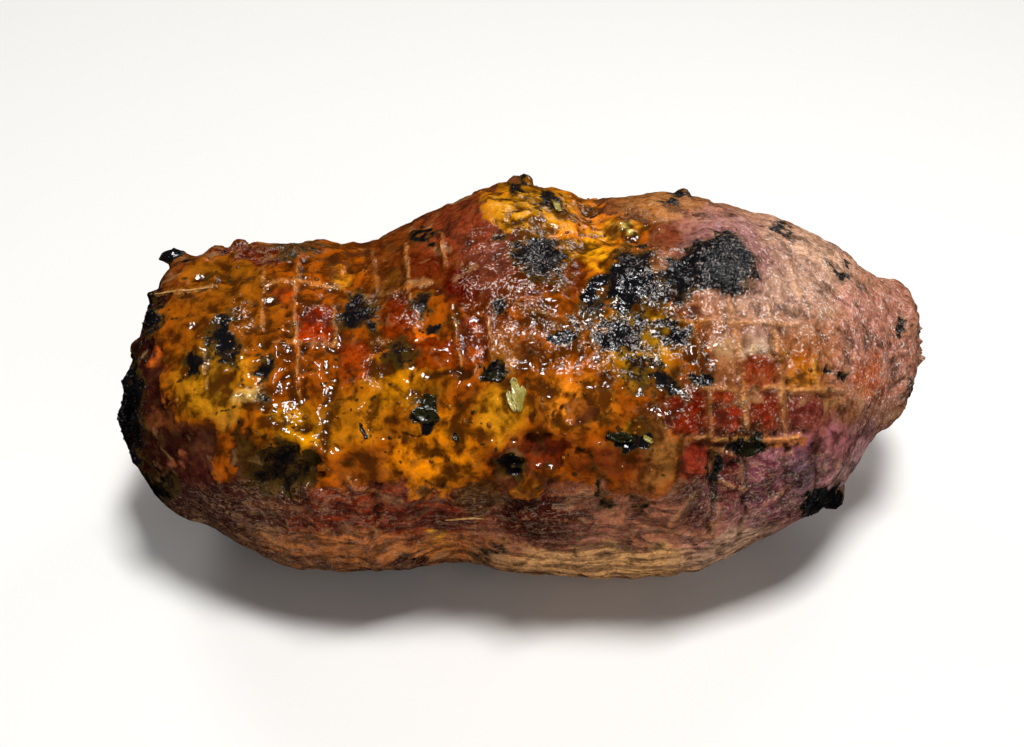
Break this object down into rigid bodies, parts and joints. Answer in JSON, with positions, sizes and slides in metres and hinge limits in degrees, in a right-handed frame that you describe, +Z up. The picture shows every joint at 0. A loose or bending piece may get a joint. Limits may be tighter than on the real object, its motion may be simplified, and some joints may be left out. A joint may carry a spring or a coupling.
{
  "type": "roast suckling pig leg",
  "caption": "Boned and rolled roast leg of suckling pig with a blunt butt end and a narrow knuckle end, pillowed in squares by its roasting net, lying on its side",
  "frame": {"origin": "middle of the roast's outline seen from above, on the surface that it rests on", "axes": "+X along the roast towards its narrow knuckle end, -Y towards the front that the glaze runs down, +Z up"},
  "size_m": [0.2444, 0.1246, 0.1065],
  "materials": {
    "crust": "browned, glazed crust with a wet gloss"
  },
  "bodies": {
    "root": {"roast_leg": "crust"}
  },
  "joints": []
}
